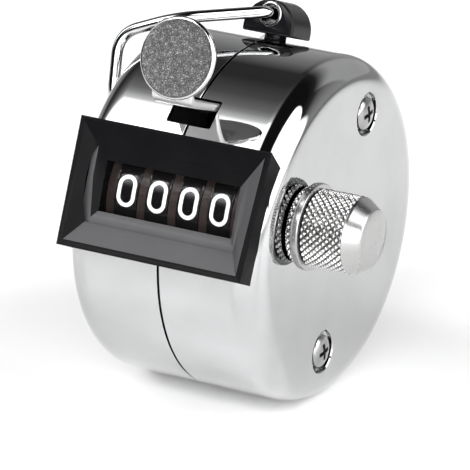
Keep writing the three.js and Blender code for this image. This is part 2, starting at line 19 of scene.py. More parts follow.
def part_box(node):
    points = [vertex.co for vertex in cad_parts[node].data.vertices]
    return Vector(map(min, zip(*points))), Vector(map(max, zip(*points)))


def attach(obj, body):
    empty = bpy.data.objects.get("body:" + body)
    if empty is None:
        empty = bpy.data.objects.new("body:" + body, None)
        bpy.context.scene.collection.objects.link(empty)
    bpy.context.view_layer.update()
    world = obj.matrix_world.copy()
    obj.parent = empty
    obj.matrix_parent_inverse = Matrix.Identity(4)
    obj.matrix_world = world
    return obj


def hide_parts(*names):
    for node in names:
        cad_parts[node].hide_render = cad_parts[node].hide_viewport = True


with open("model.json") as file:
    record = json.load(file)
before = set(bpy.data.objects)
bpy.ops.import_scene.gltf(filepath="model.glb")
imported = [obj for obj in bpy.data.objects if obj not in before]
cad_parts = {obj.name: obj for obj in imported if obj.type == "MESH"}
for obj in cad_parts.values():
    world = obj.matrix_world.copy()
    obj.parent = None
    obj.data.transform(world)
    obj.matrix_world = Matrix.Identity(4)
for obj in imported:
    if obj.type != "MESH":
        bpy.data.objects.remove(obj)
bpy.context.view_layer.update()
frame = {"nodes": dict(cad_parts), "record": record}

# %% [markdown]
# ## The drum's own axes
#
# The counter leans back, so its walls lie along no world axis. It is far easier to draw each
# piece upright and in millimetres, with X along the wheels' shaft, -Y out of the window and +Z
# towards the ring, and to lean the finished mesh back once. The matrix that does this is
# measured from the two casing halves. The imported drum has 48 flat sides, and the round drum
# drawn here just touches them from inside, so that both rest on the same floor.

# %% Drum axes to row axes
LEAN = math.radians(22.5)
PACKED_RADIUS = 22
PACKED_SIDES = 48
DRUM_RADIUS = PACKED_RADIUS * math.cos(math.pi / PACKED_SIDES)
DRUM_HALF = 13.7
DRUM_FILLET = 3.8

left_low, left_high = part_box("left_shell")
right_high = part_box("right_shell")[1]
drum_centre = Vector((
    (left_low.x + right_high.x) / 2,
    left_high.y - DRUM_RADIUS / 1000,
    left_low.z + DRUM_RADIUS / 1000,
))
TO_ROW = (
    Matrix.Translation(drum_centre)
    @ Matrix.Rotation(-LEAN, 4, "X")
    @ Matrix.Scale(0.001, 4)
)
FROM_ROW = TO_ROW.inverted()
print("drum centre in mm:", [round(v * 1000, 2) for v in drum_centre])

# %% [markdown]
# ## Shader maths as plain expressions
#
# A finish is a network of nodes, and most of those nodes do sums. `Number` wraps one socket, so
# that `1 - mask` or `wear * 0.3` adds the Math nodes by itself. Every other node comes from
# `Finish.node`, which sets the node's options first and then feeds its sockets.

# %% Number and Finish
class Number:
    """A number in a node tree. Sums on it add Math nodes."""

    def __init__(self, finish, socket):
        self.finish = finish
        self.socket = socket

    def sum(self, operation, *others):
        inputs = {0: self}
        inputs.update({i + 1: other for i, other in enumerate(others)})
        return self.finish.node("ShaderNodeMath", {"operation": operation}, inputs)

    def __add__(self, other):
        return self.sum("ADD", other)

    def __sub__(self, other):
        return self.sum("SUBTRACT", other)

    def __rsub__(self, other):
        return self.finish.node("ShaderNodeMath", {"operation": "SUBTRACT"}, {0: other, 1: self})

    def __mul__(self, other):
        return self.sum("MULTIPLY", other)

    __radd__ = __add__
    __rmul__ = __mul__

    def most(self, other):
        return self.sum("MAXIMUM", other)

    def rise(self, start, end):
        """0 before start, 1 after end, and a smooth step between them."""
        return self.finish.node(
            "ShaderNodeMapRange",
            {"interpolation_type": "SMOOTHSTEP"},
            {"Value": self, "From Min": start, "From Max": end},
        )


class Finish:
    """A node tree that is being written: a material's, or the world's."""

    def __init__(self, name, **sockets):
        self.material = bpy.data.materials.new(name)
        self.material.use_nodes = True
        self.tree = self.material.node_tree
        self.shader = self.tree.nodes["Principled BSDF"]
        self.set(**sockets)

    def feed(self, socket, value):
        if isinstance(value, Number):
            self.tree.links.new(value.socket, socket)
        elif isinstance(value, bpy.types.NodeSocket):
            self.tree.links.new(value, socket)
        else:
            socket.default_value = value

    def node(self, kind, settings=None, inputs=None, output=0):
        made = self.tree.nodes.new(kind)
        for name, value in (settings or {}).items():
            if name == "stops":
                ramp = made.color_ramp
                while len(ramp.elements) < len(value):
                    ramp.elements.new(0.5)
                for element, (position, colour) in zip(ramp.elements, value):
                    element.position = position
                    element.color = (*colour, 1)
            else:
                setattr(made, name, value)
        for socket, value in (inputs or {}).items():
            self.feed(made.inputs[socket], value)
        return Number(self, made.outputs[output])

    def place(self):
        """Object coordinates, in metres, in the row frame."""
        return self.node("ShaderNodeTexCoord", output="Object").socket

    def parts(self, vector):
        """The x, y and z of a vector, as three numbers."""
        outputs = self.node("ShaderNodeSeparateXYZ", None, {0: vector}).socket.node.outputs
        return [Number(self, outputs[axis]) for axis in "XYZ"]

    def noise(self, size_mm, detail=3.0):
        """Noise from 0 to 1 whose features are about size_mm across."""
        inputs = {"Vector": self.place(), "Scale": 1000 / size_mm, "Detail": detail}
        return self.node("ShaderNodeTexNoise", None, inputs)

    def mix(self, amount, first, second):
        """A colour between two colours."""
        made = self.tree.nodes.new("ShaderNodeMix")
        made.data_type = "RGBA"
        self.feed(made.inputs["Factor"], amount)
        colours = [socket for socket in made.inputs if socket.type == "RGBA"]
        for socket, colour in zip(colours, (first, second)):
            self.feed(socket, (*colour, 1))
        return [socket for socket in made.outputs if socket.type == "RGBA"][0]

    def bump(self, height, strength, depth_mm):
        inputs = {"Height": height, "Strength": strength, "Distance": depth_mm / 1000}
        normal = self.node("ShaderNodeBump", None, inputs).socket
        self.feed(self.shader.inputs["Normal"], normal)

    def set(self, **sockets):
        for socket, value in sockets.items():
            self.feed(self.shader.inputs[socket.replace("_", " ")], value)
        return self


# %% [markdown]
# ## Metals
#
# Bright chrome has almost no colour of its own: it shows the room. What tells it from a perfect
# mirror is a faint haze of handling marks, so its roughness wanders a little. The knob and the
# lever are nickel, which is a little warmer and softer. Inside pieces are plain steel with fine
# drawn lines, brass or spring wire.

# %% Metal finishes
def metal(name, colour, roughness, haze, grain_mm=0.4, grain=0.0):
    finish = Finish(name, Metallic=1.0)
    marks = finish.noise(6.0, 4.0).rise(0.35, 0.75)
    fine = finish.noise(grain_mm, 2.0)
    darker = tuple(channel * 0.93 for channel in colour)
    finish.set(
        Base_Color=finish.mix(marks, colour, darker),
        Roughness=marks * haze + fine * (haze * 0.5) + roughness,
    )
    if grain:
        finish.bump(fine, grain, 0.02)
    return finish.material


CHROME = metal("bright_chrome", (0.5, 0.503, 0.507), 0.02, 0.025)
RING_CHROME = metal("ring_chrome", (0.62, 0.62, 0.625), 0.05, 0.05)
NICKEL = metal("bright_nickel", (0.56, 0.56, 0.555), 0.06, 0.05)
TURNED_NICKEL = metal("turned_nickel", (0.44, 0.44, 0.437), 0.2, 0.1)
SCREW_NICKEL = metal("screw_nickel", (0.36, 0.36, 0.36), 0.1, 0.15, 0.3, 0.3)
SATIN = metal("satin_nickel", (0.7, 0.7, 0.695), 0.38, 0.1, 0.3, 0.1)
STEEL = metal("plain_steel", (0.42, 0.42, 0.43), 0.35, 0.15, 0.2, 0.3)
SPRING = metal("spring_steel", (0.3, 0.3, 0.31), 0.3, 0.15, 0.2, 0.2)
# Painted shade for hollows: a dark copy of the metal, used inside the screws' crosses.
GROOVE_SHADE = metal("groove_painted_shade", (0.05, 0.05, 0.05), 0.5, 0.1)
BRASS = metal("turned_brass", (0.62, 0.45, 0.2), 0.25, 0.12, 0.3, 0.15)
print("metals:", len(bpy.data.materials), "materials so far")

# %% [markdown]
# The thumb pad is blasted to give grip: a mid-grey face with dark and light specks a tenth of a
# millimetre across. Two noises at different sizes make the specks, and the same noise raises the
# surface so that each speck also catches light.

# %% Blasted pad face
PAD_TONES = [(at, (tone, tone, tone)) for at, tone in ((0, 0.045), (0.55, 0.11), (0.85, 0.17), (1, 0.36))]
pad_finish = Finish("blasted_nickel", Metallic=0.75)
specks = pad_finish.noise(0.16, 2.0)
clumps = pad_finish.noise(0.55, 3.0)
grain = (specks * 0.7 + clumps * 0.3).rise(0.36, 0.66)
pad_finish.set(
    Base_Color=pad_finish.node("ShaderNodeValToRGB", {"stops": PAD_TONES}, {0: grain}).socket,
    Roughness=grain * 0.2 + 0.45,
)
pad_finish.bump(specks, 0.6, 0.05)
PAD_FACE = pad_finish.material

# %% [markdown]
# ## Plastics, enamel and print
#
# The window frame is a black moulding with a fine satin texture, the lug is glossy enamel, and
# the wheels are glossy black. The frame's faces that look up or left get a second, greyer finish,
# which is painted light, because the studio's light alone leaves them too dark.

# %% Plastic finishes
def plastic(name, colour, roughness, texture_mm, texture, coat=0.0, shine=0.5):
    finish = Finish(name, Coat_Roughness=0.05, Specular_IOR_Level=shine)
    texture_noise = finish.noise(texture_mm, 2.0)
    cloud = finish.noise(5.0, 3.0)
    lighter = tuple(min(1, channel * 1.35 + 0.004) for channel in colour)
    finish.set(
        Base_Color=finish.mix(cloud, colour, lighter),
        Roughness=texture_noise * 0.1 + roughness,
        Coat_Weight=coat,
    )
    finish.bump(texture_noise, texture, 0.02)
    return finish.material


BEZEL_BLACK = plastic("satin_black_moulding", (0.002, 0.002, 0.0025), 0.3, 0.22, 0.35, shine=0.05)
# Painted light: a lighter copy of the black moulding for the frame's faces that look up or left.
LIT_FACE_GREY = plastic("grey_moulding_painted_light", (0.045, 0.045, 0.047), 0.36, 0.22, 0.35, shine=0.3)
# Painted highlight: a lighter, glossier copy of the black moulding for the rim's rounded edges.
EDGE_PAINTED_HIGHLIGHT = plastic("polished_edge_painted_highlight", (0.09, 0.09, 0.092), 0.14, 0.22, 0.05, 0.5)
LUG_BLACK = plastic("glossy_black_enamel", (0.004, 0.004, 0.005), 0.12, 0.9, 0.1, shine=0.14)
MASK_BROWN = plastic("brown_black_moulding", (0.022, 0.015, 0.014), 0.3, 0.3, 0.2, shine=0.15)
NYLON = plastic("natural_nylon", (0.7, 0.66, 0.55), 0.4, 0.4, 0.2)
PRINT_WHITE = plastic("white_print", (0.9, 0.9, 0.9), 0.35, 0.25, 0.15)

WHEEL_Y = -11.8
WHEEL_Z = 0.6
WHEEL_RADIUS = 7.8


def wheel_black():
    finish = Finish("glossy_wheel_black", Specular_IOR_Level=0.22)
    scuffs = finish.noise(0.5, 3.0)
    finish.set(
        Base_Color=finish.mix(scuffs, (0.003, 0.0028, 0.003), (0.007, 0.006, 0.007)),
        Roughness=scuffs * 0.05 + 0.08,
    )
    return finish.material


WHEEL_BLACK = wheel_black()

# %% [markdown]
# The lens is clear. A thin pane needs no refraction to look right: it is almost transparent, and
# what shows is the light on its polished surface. A low alpha with a smooth surface does this,
# and also survives the export.

# %% Clear lens
lens_finish = Finish("clear_lens", Base_Color=(0.02, 0.02, 0.02, 1), Specular_IOR_Level=0.5)
lens_smears = lens_finish.noise(3.0, 3.0)
lens_finish.set(Roughness=lens_smears * 0.04 + 0.02, Alpha=lens_smears * 0.02 + 0.03)
CLEAR = lens_finish.material
print("finishes:", len(bpy.data.materials))

# %% [markdown]
# ## Shaping tools
#
# Nearly every piece of a counter is turned, punched or bent. So there are four makers: a turned
# shape, a punched plate, a block, and a round wire. Each returns a mesh in the drum's axes and
# in millimetres. `carve` and `soften` then cut them and round their edges, because no pressed or
# moulded edge is knife-sharp and it is the rounded edges that catch light.

# %% Makers
def welded(mesh, distance):
    """Merges the points that coincide and turns every face outwards."""
    tidy = bmesh.new()
    tidy.from_mesh(mesh)
    bmesh.ops.remove_doubles(tidy, verts=tidy.verts, dist=distance)
    bmesh.ops.recalc_face_normals(tidy, faces=tidy.faces)
    tidy.to_mesh(mesh)
    tidy.free()
    return mesh


def mesh_of(vertices, faces):
    mesh = bpy.data.meshes.new("shape")
    mesh.from_pydata([tuple(v) for v in vertices], [], faces)
    return welded(mesh, 1e-5)


def arc(a, b, radius, start, end, steps):
    """Points on an arc about (a, b), with its angles in degrees."""
    angles = np.radians(np.linspace(start, end, steps + 1))
    return [(a + radius * math.cos(t), b + radius * math.sin(t)) for t in angles]


def joined_rows(pairs, sides):
    """The faces between pairs of rows round an axis. A row of one point is a pole."""
    faces = []
    for lower, upper in pairs:
        for i in range(sides):
            j = (i + 1) % sides
            if len(lower) == 1 and len(upper) == 1:
                continue
            if len(lower) == 1:
                faces.append((lower[0], upper[j], upper[i]))
            elif len(upper) == 1:
                faces.append((lower[i], lower[j], upper[0]))
            else:
                faces.append((lower[i], lower[j], upper[j], upper[i]))
    return faces


def turned(profile, sides, centre=(0, 0), axis="X", ring=False):
    """A profile of (along, radius) points turned about an axis. A ring's profile is a loop."""
    vertices = []
    rows = []
    for along, radius in profile:
        row = []
        count = 1 if radius < 1e-9 else sides
        for i in range(count):
            turn = 2 * math.pi * i / sides
            across = (radius * math.cos(turn), radius * math.sin(turn))
            if axis == "X":
                point = (along, centre[0] + across[0], centre[1] + across[1])
            elif axis == "Y":
                point = (centre[0] + across[0], along, centre[1] + across[1])
            else:
                point = (centre[0] + across[0], centre[1] + across[1], along)
            row.append(len(vertices))
            vertices.append(point)
        rows.append(row)
    pairs = list(zip(rows, rows[1:])) + ([(rows[-1], rows[0])] if ring else [])
    return mesh_of(vertices, joined_rows(pairs, sides))


def rod(start, end, radius, y, z, sides=64):
    return turned([(start, 0), (start, radius), (end, radius), (end, 0)], sides, (y, z))


def plate(outline, start, end, axis="X"):
    """An outline extruded along X from (y, z) points, or along Y from (x, z) points."""
    count = len(outline)
    if axis == "X":
        vertices = [(at, a, b) for at in (start, end) for a, b in outline]
    else:
        vertices = [(a, at, b) for at in (start, end) for a, b in outline]
    faces = [tuple(range(count)), tuple(range(2 * count - 1, count - 1, -1))]
    for i in range(count):
        j = (i + 1) % count
        faces.append((i, i + count, j + count, j))
    return mesh_of(vertices, faces)


def block(low, high):
    outline = [(low[1], low[2]), (high[1], low[2]), (high[1], high[2]), (low[1], high[2])]
    return plate(outline, low[0], high[0])


# %% Cutting and softening
def evaluated(mesh, add_modifiers, helpers=()):
    """The mesh after modifiers. Nothing but the new mesh stays in the scene."""
    holder = bpy.data.objects.new("holder", mesh)
    bpy.context.scene.collection.objects.link(holder)
    placed = []
    for helper in helpers:
        tool = bpy.data.objects.new("tool", helper)
        bpy.context.scene.collection.objects.link(tool)
        placed.append(tool)
    add_modifiers(holder, placed)
    graph = bpy.context.evaluated_depsgraph_get()
    result = bpy.data.meshes.new_from_object(holder.evaluated_get(graph))
    for made in [holder, *placed]:
        bpy.data.objects.remove(made)
    return result


def carve(mesh, tools, operation="DIFFERENCE"):
    def add(holder, placed):
        for tool in placed:
            modifier = holder.modifiers.new("carve", "BOOLEAN")
            modifier.operation = operation
            modifier.solver = "EXACT"
            modifier.object = tool

    return evaluated(mesh, add, tools)


def soften(mesh, width, segments=3, angle=35):
    """Rounds every edge sharper than `angle`, and keeps the flat faces flat in shading."""
    def add(holder, placed):
        bevel = holder.modifiers.new("soften", "BEVEL")
        bevel.width = width
        bevel.segments = segments
        bevel.limit_method = "ANGLE"
        bevel.angle_limit = math.radians(angle)
        bevel.use_clamp_overlap = True
        weighted = holder.modifiers.new("weighted", "WEIGHTED_NORMAL")
        weighted.keep_sharp = True

    mesh.shade_smooth()
    return evaluated(mesh, add)


def copy_of(node):
    """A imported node's shape, welded, with its flat faces made whole again."""
    mesh = frame["nodes"][node].data.copy()
    mesh.transform(FROM_ROW)
    tidy = bmesh.new()
    tidy.from_mesh(mesh)
    bmesh.ops.remove_doubles(tidy, verts=tidy.verts, dist=2e-3)
    bmesh.ops.dissolve_limit(
        tidy, angle_limit=math.radians(1), verts=tidy.verts, edges=tidy.edges
    )
    tidy.to_mesh(mesh)
    tidy.free()
    return mesh


# %% Setting a finished piece in place
def set_in(name, mesh, finish, body, stands_for=(), smooth=None):
    """Leans a finished mesh back into the row frame and gives it its finish and its body."""
    if smooth is not None:
        mesh.shade_smooth()
        mesh.set_sharp_from_angle(angle=math.radians(smooth))
    mesh.transform(TO_ROW)
    mesh.name = name
    finishes = finish if isinstance(finish, (list, tuple)) else [finish]
    mesh.materials.clear()
    for each in finishes:
        mesh.materials.append(each)
    piece = bpy.data.objects.new(name, mesh)
    bpy.context.scene.collection.objects.link(piece)
    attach(piece, body)
    if stands_for:
        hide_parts(*stands_for)
    triangles = sum(len(face.vertices) - 2 for face in mesh.polygons)
    print(f"{name}: {triangles} triangles on {body}")
    return piece


# %% [markdown]
# ## The casing
#
# The casing is two drawn cups of thin sheet that meet at mid-width. A mirror finish shows every
# flaw in a mesh, so each half is turned with 256 sides and its shading directions are written
# from the drum's own formula instead of being averaged from faces. The window, the lever slot,
# the lug's hole and the screw seats are then cut out of it.

# %% Casing halves
SHEET = 0.8
SEAM = 0.15
CORNER_X = DRUM_HALF - DRUM_FILLET
CORNER_R = DRUM_RADIUS - DRUM_FILLET
CASE_POSTS = [(1.1, 15.05), (1.1, -15.05)]
RECESS_FLOOR = 12.8
RECESS_RADIUS = 2.7


def casing_half():
    outer = [(SEAM, DRUM_RADIUS - 0.12), *arc(SEAM + 0.12, DRUM_RADIUS - 0.12, 0.12, 180, 90, 4)[1:]]
    outer += [(x, DRUM_RADIUS) for x in np.linspace(1, CORNER_X - 0.5, 8)]
    outer += arc(CORNER_X, CORNER_R, DRUM_FILLET, 90, 0, 28)
    inner = [(SEAM, DRUM_RADIUS - SHEET), *arc(CORNER_X, CORNER_R, DRUM_FILLET - SHEET, 90, 0, 12)]
    profile = [(DRUM_HALF, 0), (DRUM_HALF, 6), (DRUM_HALF, 12), *outer[::-1], *inner]
    return turned([*profile, (DRUM_HALF - SHEET, 0)], 256)


def mirrored(mesh):
    mesh.transform(Matrix.Scale(-1, 4, (1, 0, 0)))
    mesh.flip_normals()
    return mesh


def casing_normals(mesh):
    """Shading directions of the drum's outer surface, written from its formula."""
    count = len(mesh.vertices)
    points = np.zeros(count * 3)
    mesh.vertices.foreach_get("co", points)
    points = points.reshape(-1, 3)
    radius = np.hypot(points[:, 1], points[:, 2])
    outward = np.zeros_like(points)
    over = np.abs(points[:, 0]) - CORNER_X
    past = np.where(over > 0, over, 0) * np.sign(points[:, 0])
    rise = np.where(over > 0, radius - CORNER_R, DRUM_FILLET)
    outward[:, 0] = past
    outward[:, 1] = rise * points[:, 1] / np.maximum(radius, 1e-9)
    outward[:, 2] = rise * points[:, 2] / np.maximum(radius, 1e-9)
    length = np.linalg.norm(outward, axis=1)
    on_drum = np.abs(length - DRUM_FILLET) < 0.02
    on_drum &= np.where(over > 0, True, np.abs(radius - DRUM_RADIUS) < 0.02)
    outward /= np.maximum(length, 1e-9)[:, None]
    directions = []
    for face in mesh.polygons:
        normal = np.array(face.normal)
        for loop in face.loop_indices:
            vertex = mesh.loops[loop].vertex_index
            curved = on_drum[vertex] and normal @ outward[vertex] > 0.9
            directions.append(tuple(outward[vertex] if curved else normal))
    return directions


def set_casing(name, mesh, stands_for):
    mesh.shade_smooth()
    directions = casing_normals(mesh)
    turn = Matrix.Rotation(-LEAN, 3, "X")
    directions = [tuple(turn @ Vector(d)) for d in directions]
    piece = set_in(name, mesh, CHROME, "case", stands_for)
    piece.data.normals_split_custom_set(directions)
    return piece


window_cut = block((-11.55, -30, -6.6), (11.55, -5, 7.3))
slot_cut = soften(block((-3.05, -30, 9.9), (3.05, -5, 13.4)), 0.25, 2)
lug_cut = turned([(15, 0), (15, 1.7), (25, 1.7), (25, 0)], 48, (-0.2, 0), "Z")
left_half = mirrored(casing_half())
set_casing(
    "casing_left", carve(left_half, [window_cut.copy(), slot_cut.copy(), lug_cut.copy()]), ["left_shell"]
)

seats = [rod(RECESS_FLOOR - 0.65, DRUM_HALF - 0.4, RECESS_RADIUS + 0.7, y, z) for y, z in CASE_POSTS]
seat_cuts = [
    turned([
        (RECESS_FLOOR, 0), (RECESS_FLOOR, RECESS_RADIUS - 0.25), (RECESS_FLOOR + 0.25, RECESS_RADIUS),
        (DRUM_HALF - 0.12, RECESS_RADIUS), (DRUM_HALF + 0.2, RECESS_RADIUS + 0.32), (DRUM_HALF + 0.2, 0),
    ], 64, (y, z))
    for y, z in CASE_POSTS
]
screw_cuts = [rod(5, 15, 1.15, y, z, 32) for y, z in CASE_POSTS]
bush_cut = rod(5, 15, 2.9, WHEEL_Y, WHEEL_Z)
right_half = carve(casing_half(), seats, "UNION")
right_cuts = [window_cut, slot_cut, lug_cut, bush_cut, *seat_cuts, *screw_cuts]
set_casing("casing_right", carve(right_half, right_cuts), ["right_shell"])

# %% [markdown]
# ## Screws
#
# Two cross-head screws hold the right half to the case posts, sunk in round seats. The head is
# turned with a soft dome. The cross is cut with two tapered wedges, because a driver's cross
# narrows with depth.

# %% Case screws
HEAD_RADIUS = 2.1
DOME_START = RECESS_FLOOR + 0.6
DOME_RISE = 0.6
CROSS_LONG = 1.45
CROSS_WIDE = 0.34


def cross_wedge(top, y, z, length, width):
    outline = [(length, width), (length * 0.55, width * 0.45)]
    vertices = []
    for (half_y, half_z), x in zip(outline, (top + 0.4, top - 0.75)):
        for sign_y, sign_z in ((-1, -1), (1, -1), (1, 1), (-1, 1)):
            vertices.append((x, y + sign_y * half_y, z + sign_z * half_z))
    faces = [(0, 1, 2, 3), (7, 6, 5, 4)]
    faces += [(i, i + 4, (i + 1) % 4 + 4, (i + 1) % 4) for i in range(4)]
    return mesh_of(vertices, faces)


def case_screw(y, z):
    under = RECESS_FLOOR + 0.3
    top = DOME_START + DOME_RISE
    angles = np.linspace(0.05, math.pi / 2, 14)
    dome = [(DOME_START + DOME_RISE * math.sin(t), HEAD_RADIUS * math.cos(t)) for t in angles]
    profile = [(7, 0), (7, 0.85), (under, 0.85), (under, 1.9), (under + 0.12, 2.08), *dome[:-1], (top, 0)]
    head = turned(profile, 72, (y, z))
    turn = math.radians(28)
    sizes = [(CROSS_LONG, CROSS_WIDE), (CROSS_WIDE, CROSS_LONG)]
    wedges = [cross_wedge(top, y, z, *size) for size in sizes]
    about = Matrix.Translation((0, y, z))
    for wedge in wedges:
        wedge.transform(about @ Matrix.Rotation(turn, 4, "X") @ about.inverted())
    return carve(head, wedges)


for place, (y, z) in zip(("upper", "lower"), CASE_POSTS):
    screw = set_in(
        f"screw_{place}", case_screw(y, z), [SCREW_NICKEL, GROOVE_SHADE], "case",
        [f"case_screw_{place}"], smooth=32,
    )
    # The faces inside the cross take the dark groove finish: painted shade in the recess.
    for face in screw.data.polygons:
        middle = FROM_ROW @ face.center
        out = math.hypot(middle.y - y, middle.z - z)
        dome_x = DOME_START + DOME_RISE * math.sqrt(max(0, 1 - (out / HEAD_RADIUS) ** 2))
        if out < CROSS_LONG + 0.15 and middle.x < dome_x - 0.05:
            face.material_index = 1

# %% [markdown]
# ## The window frame and lens
#
# The black frame is a moulding: its walls fall away from a flat rim to the drum outside, and
# like a funnel to the window inside. Its planes are already exact in the imported frame, so the
# piece is that shape with its flat faces made whole and its edges rounded. The rounded edges of
# the rim are polished and painted a lighter black, a painted highlight. The faces that look up or
# left and the ledge in the window's lower half are painted grey, a painted light, and the rest is
# black.

# %% Frame and lens
DRUM_TURN = FROM_ROW.to_3x3().normalized()
RIM_DEPTH = 0.5
LEDGE_DEPTH = 0.8
LEDGE_HALF = 6
LEFT_OUTER_WALL = -8
MOULDING = [BEZEL_BLACK, LIT_FACE_GREY, EDGE_PAINTED_HIGHLIGHT]
window_frame = set_in(
    "window_frame", soften(copy_of("bezel"), 0.14), MOULDING, "case", ["bezel"]
)
frame_mesh = window_frame.data
front_y = min((FROM_ROW @ vertex.co).y for vertex in frame_mesh.vertices)
for face in frame_mesh.polygons:
    facing = DRUM_TURN @ face.normal
    corners = [frame_mesh.vertices[i].co for i in face.vertices]
    short = [(a - b).length < 0.0001 for a, b in zip(corners, corners[1:] + corners[:1])]
    middle = FROM_ROW @ face.center
    behind = middle.y - front_y
    low_inside = middle.z < WHEEL_Z and abs(middle.x) < LEDGE_HALF
    ledge = facing.y < -0.9 and behind > LEDGE_DEPTH and low_inside
    # Index 2 is the painted highlight on the rim's rounded edges; index 1 is the painted light on faces
    # that look up or left and on the lower ledge.
    if behind < RIM_DEPTH and len(corners) == 4 and sum(short) >= 2:
        face.material_index = 2
    elif middle.x < LEFT_OUTER_WALL and behind >= RIM_DEPTH:
        face.material_index = 0
    elif ledge or facing.z - facing.x * 0.6 > 0.3 and facing.x > -0.95:
        face.material_index = 1
face_counts = np.bincount([face.material_index for face in frame_mesh.polygons])
print("window frame faces, black, grey and polished:", face_counts)
set_in("window_pane", soften(copy_of("window_lens"), 0.06, 2), CLEAR, "case", ["window_lens"])

# %% [markdown]
# ## Number wheels
#
# Each wheel is a moulded ring with rounded edges. The carry gear and teeth beside it stay as
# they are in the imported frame, inside the drum. The digits are drawn as strokes, like a
# lettering artist would: lines and arcs with one width, laid on the rim and raised by the
# thickness of the ink. Digits 1 to 9 are shorter than 0, so that no neighbour of a 0 shows in
# the window.

# %% Wheel rims
WHEEL_PITCH = 4.32
WHEEL_FACE = 3.0
WHEEL_MIDDLE = -0.1
PLACES = ["thousands", "hundreds", "tens", "ones"]
MIDDLES = {name: WHEEL_MIDDLE + (place - 1.5) * WHEEL_PITCH for place, name in enumerate(PLACES)}


def wheel_rim(middle):
    left = middle - WHEEL_FACE / 2 - 0.005
    right = middle + WHEEL_FACE / 2 + 0.005
    outer = WHEEL_RADIUS + 0.01
    profile = [
        (left, 6.6), *arc(left + 0.12, outer - 0.12, 0.12, 180, 90, 4),
        *arc(right - 0.12, outer - 0.12, 0.12, 90, 0, 4), (right, 6.6),
    ]
    return turned(profile, 180, (WHEEL_Y, WHEEL_Z), ring=True)


for name, middle in MIDDLES.items():
    set_in(f"wheel_rim_{name}", wheel_rim(middle), WHEEL_BLACK, f"{name}_wheel", smooth=40)

# %% Digit strokes
WIDE = 1.02
TALL = 1.75
STROKE = 0.5
SHORTER = 0.78


def strokes(digit):
    """The centre lines of a digit, as lists of (across, up) points, and whether each is a loop."""
    if digit == 0:
        top = arc(0, TALL - WIDE, WIDE, 0, 180, 16)
        return [([*top, *arc(0, WIDE - TALL, WIDE, 180, 360, 16)], True)]
    if digit == 1:
        return [([(-0.55, 1.05), (0.1, TALL), (0.1, -TALL - 0.1)], False)]
    if digit == 2:
        return [([*arc(0, 0.73, WIDE, 170, -30, 14), (-0.9, -TALL), (1.1, -TALL)], False)]
    if digit == 3:
        return [([*arc(0, 0.85, 0.78, 150, -90, 14), *arc(0, -0.78, 0.85, 90, -150, 14)[1:]], False)]
    if digit == 4:
        return [([(0.4, -TALL - 0.37), (0.4, TALL), (-0.95, -0.6), (1.15, -0.6)], False)]
    if digit == 5:
        return [([(0.95, TALL), (-0.7, TALL), (-0.75, 0.1), *arc(0, -0.7, 0.93, 115, -150, 14)], False)]
    if digit == 7:
        return [([(-1.1, TALL), (0.9, TALL), (-0.35, -TALL - 0.3)], False)]
    if digit == 8:
        return [(arc(0, 0.85, 0.75, 0, 360, 22)[:-1], True), (arc(0, -0.73, 0.9, 0, 360, 24)[:-1], True)]
    bowl = arc(0, -0.7, 0.93, 0, 360, 24)[:-1]
    stem = [(-0.93, -0.7), (-0.75, 0.4), (0.35, TALL + 0.2)]
    six = [(bowl, True), (stem, False)]
    if digit == 6:
        return six
    return [([(-a, -b) for a, b in line], loop) for line, loop in six]


def densified(line, loop, step=0.16):
    points = [Vector(p) for p in line]
    ends = points[1:] + ([points[0]] if loop else [])
    dense = []
    for start, end in zip(points, ends):
        count = max(1, int((end - start).length / step))
        dense += [start.lerp(end, i / count) for i in range(count)]
    return dense if loop else [*dense, points[-1]]


def inked(line, loop, width, place_point):
    """A stroke of ink: a flat ribbon with thin walls, set on the rim by place_point."""
    dense = densified(line, loop)
    count = len(dense)
    vertices = []
    for i, point in enumerate(dense):
        before = dense[i - 1] if loop or i else point
        after = dense[(i + 1) % count] if loop or i < count - 1 else point
        along = (after - before).normalized()
        across = Vector((-along.y, along.x)) * width / 2
        for side in (across, -across):
            for height in (-0.03, 0.045):
                vertices.append(place_point(point + side, height))
    faces = []
    spans = count if loop else count - 1
    for i in range(spans):
        a, b = 4 * i, 4 * ((i + 1) % count)
        for p, q in ((0, 1), (1, 3), (3, 2), (2, 0)):
            faces.append((a + p, a + q, b + q, b + p))
    if not loop:
        last = 4 * (count - 1)
        faces += [(0, 2, 3, 1), (last, last + 1, last + 3, last + 2)]
    return vertices, faces


def wheel_print(middle):
    vertices = []
    faces = []
    for digit in range(10):
        turn = math.radians(36 * digit)

        def on_rim(point, height, turn=turn):
            angle = turn + point.y / WHEEL_RADIUS
            radius = WHEEL_RADIUS + height
            y = WHEEL_Y - radius * math.cos(angle)
            return (middle + point.x, y, WHEEL_Z + radius * math.sin(angle))

        tall = SHORTER if digit else 1
        for line, loop in strokes(digit):
            more, quads = inked([(a, b * tall) for a, b in line], loop, STROKE, on_rim)
            offset = len(vertices)
            vertices += more
            faces += [tuple(i + offset for i in quad) for quad in quads]
    return mesh_of(vertices, faces)


for name, middle in MIDDLES.items():
    set_in(f"digits_{name}", wheel_print(middle), PRINT_WHITE, f"{name}_wheel", smooth=50)

# %% [markdown]
# ## The reset knob
#
# The knob is nickel with a diamond knurl: two sets of slanted grooves that cross. A knurl is a
# rule, not a picture, so the barrel's radius is computed at every point from the two sets of
# grooves, and the grooves are real. A plain chamfer and a polished face finish its end.

# %% Knurled knob
KNOB = {"start": 14.0, "collar": 14.8, "band": 14.95, "barrel": 16.05, "chamfer": 21.85, "end": 23.55}
KNOB_RADIUS = 4.85
KNOB_FACE = 3.65
CONE_START = KNOB["chamfer"] - 0.4
GROOVES = 34
KNURL_DEPTH = 0.32
KNURL_SLANT = 1.15


def knurl(x, turn):
    """How far the surface lies under the knob's full radius."""
    first = GROOVES * (turn / (2 * math.pi)) + x * KNURL_SLANT
    second = GROOVES * (turn / (2 * math.pi)) - x * KNURL_SLANT
    ridge = min(abs((first % 1) - 0.5), abs((second % 1) - 0.5)) * 2
    return KNURL_DEPTH * max(0.0, 1 - ridge * 1.6)


